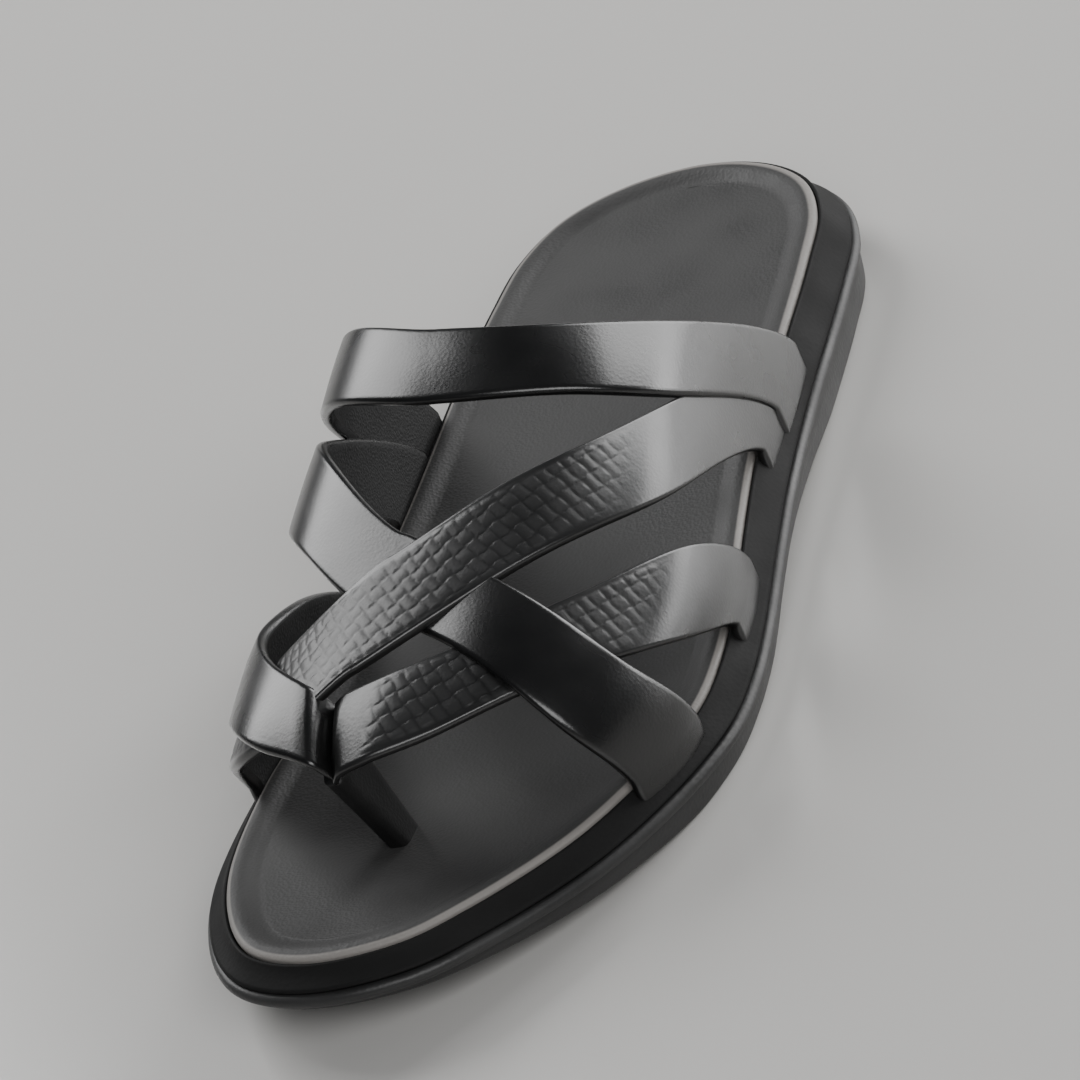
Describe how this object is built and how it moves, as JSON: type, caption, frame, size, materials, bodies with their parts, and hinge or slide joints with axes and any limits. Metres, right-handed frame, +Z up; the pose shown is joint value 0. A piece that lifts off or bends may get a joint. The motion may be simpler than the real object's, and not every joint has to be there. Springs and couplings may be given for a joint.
{
  "type": "leather slipper",
  "caption": "Left open leather slipper with crossed straps over the instep, a toe post, a grey footbed with a raised border and a dark moulded sole.",
  "frame": {"origin": "centre of the bounding box at floor level", "axes": "+Z up from the floor, +Y toward the heel and -Y toward the toe, +X toward the outer side of the left foot"},
  "size_m": [0.1114, 0.2882, 0.0763],
  "materials": {
    "outsole": "satin moulded sole with a rounded ridge",
    "midsole": "matt moulded wall",
    "footbed": "matt grey lining leather with a paler edge",
    "strap_leather": "polished black leather, woven emboss on some straps",
    "post_leather": "plain black leather"
  },
  "bodies": {
    "root": {"outsole": "outsole", "midsole": "midsole", "footbed": "footbed", "upper": "strap_leather", "toe_post": "post_leather"}
  },
  "joints": []
}
